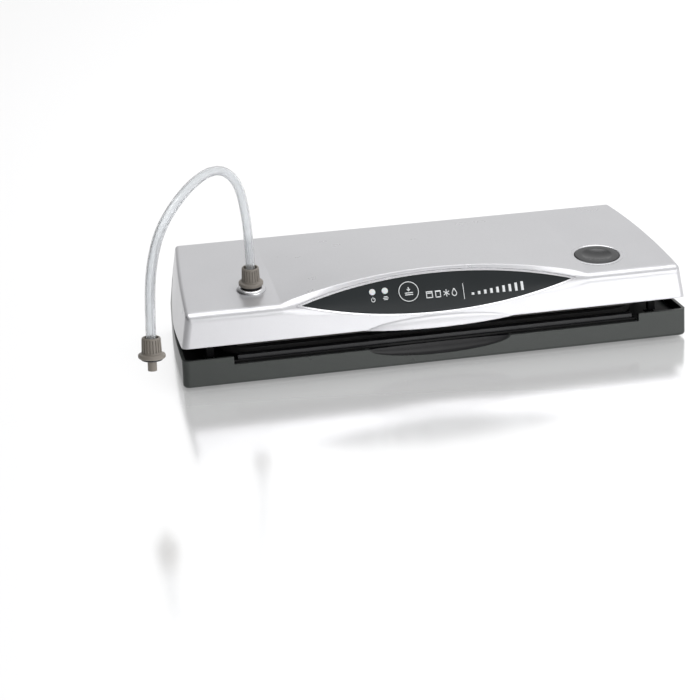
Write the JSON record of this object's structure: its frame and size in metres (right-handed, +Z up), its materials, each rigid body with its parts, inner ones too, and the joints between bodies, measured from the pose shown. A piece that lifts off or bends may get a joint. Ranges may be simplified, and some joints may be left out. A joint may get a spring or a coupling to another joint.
{
  "type": "vacuum sealer",
  "caption": "Low countertop vacuum sealer with a hinged silver lid, arched control panel, round release button, bag slot and a plug-in clear hose for canisters.",
  "frame": {"origin": "on the table, under the middle of the body", "axes": "+X to the right as the user faces the panel, +Y to the rear hinge, +Z up"},
  "size_m": [0.4273, 0.2766, 0.1723],
  "materials": {
    "silver_paint": "satin silver paint on moulded plastic",
    "charcoal": "semi-gloss moulded plastic",
    "black_plastic": "fine-grained moulded plastic",
    "panel_grey": "smooth printed panel film",
    "bright_trim": "bright silver plating",
    "smoked_button": "polished",
    "lens": "frosted clear lens",
    "foam": "closed-cell foam rubber",
    "silicone": "smooth silicone",
    "tape": "woven non-stick tape",
    "element": "rolled resistance ribbon",
    "steel": "plain",
    "board": "solder-masked laminate",
    "component": "moulded",
    "copper": "enamelled wire",
    "laminations": "stacked sheet",
    "pump_plastic": "moulded",
    "foot_rubber": "moulded rubber",
    "clear_hose": "clear flexible plastic",
    "fitting": "moulded warm grey plastic"
  },
  "bodies": {
    "base": {"base_gasket": "foam", "base_shell": "charcoal", "base_tray": "black_plastic", "bottom_cover": "charcoal", "catch_clip_left": "steel", "catch_clip_right": "steel", "cover_screws": "steel", "foot_front_left": "foot_rubber", "foot_front_right": "foot_rubber", "foot_rear_left": "foot_rubber", "foot_rear_right": "foot_rubber", "hinge_pin_left": "steel", "hinge_pin_right": "steel", "sealing_strip": "silicone"},
    "lid": {"bar_carrier": "black_plastic", "board_components": "component", "circuit_board": "board", "control_panel": "panel_grey", "heating_element": "element", "indicator_leds": "lens", "key_switch": "component", "latch_post_left": "black_plastic", "latch_post_right": "black_plastic", "lead_inlet": "black_plastic", "lid_gasket": "foam", "lid_liner": "black_plastic", "lid_screws": "steel", "lid_shell": "silver_paint", "motor_cradle": "black_plastic", "panel_bezel": "bright_trim", "port_nozzle": "black_plastic", "port_ring": "bright_trim", "port_tube": "silicone", "power_lens": "lens", "pump_head": "pump_plastic", "pump_motor": "steel", "pump_tube": "silicone", "release_rim": "bright_trim", "release_spring": "steel", "release_tape": "tape", "sealing_lens": "lens", "transformer_coil": "copper", "transformer_core": "laminations", "valve_seat": "pump_plastic"},
    "seal_key": {"seal_key": "panel_grey", "switch_plunger": "component"},
    "release": {"release_button": "smoked_button", "valve_stem": "pump_plastic"},
    "pump_rotor": {"motor_shaft": "steel", "pump_crank": "steel"},
    "hose_set": {"hose": "clear_hose", "port_fitting": "fitting", "port_oring": "silicone", "canister_fitting": "fitting", "canister_oring": "silicone"}
  },
  "joints": [
    {"name": "lid_hinge", "type": "hinge", "parent": "base", "child": "lid", "pos_m": [0, 0.0733, 0.047], "axis": [-1, 0, 0], "range_deg": [-3.4, 62]},
    {"name": "seal_key_press", "type": "slide", "parent": "lid", "child": "seal_key", "axis": [0, 0.8686, -0.4955], "range_m": [0, 0.0008], "stiffness_N_per_m": 1500},
    {"name": "release_press", "type": "slide", "parent": "lid", "child": "release", "axis": [0, 0.1169, -0.9931], "range_m": [0, 0.0025], "stiffness_N_per_m": 900, "deforming": ["release_spring"]},
    {"name": "pump_spin", "type": "hinge", "parent": "lid", "child": "pump_rotor", "pos_m": [-0.08, -0.004, 0.04857], "axis": [1, 0, 0], "continuous": true},
    {"name": "hose_pull", "type": "slide", "parent": "lid", "child": "hose_set", "axis": [0, -0.1169, 0.9931], "range_m": [0, 0.015]}
  ]
}
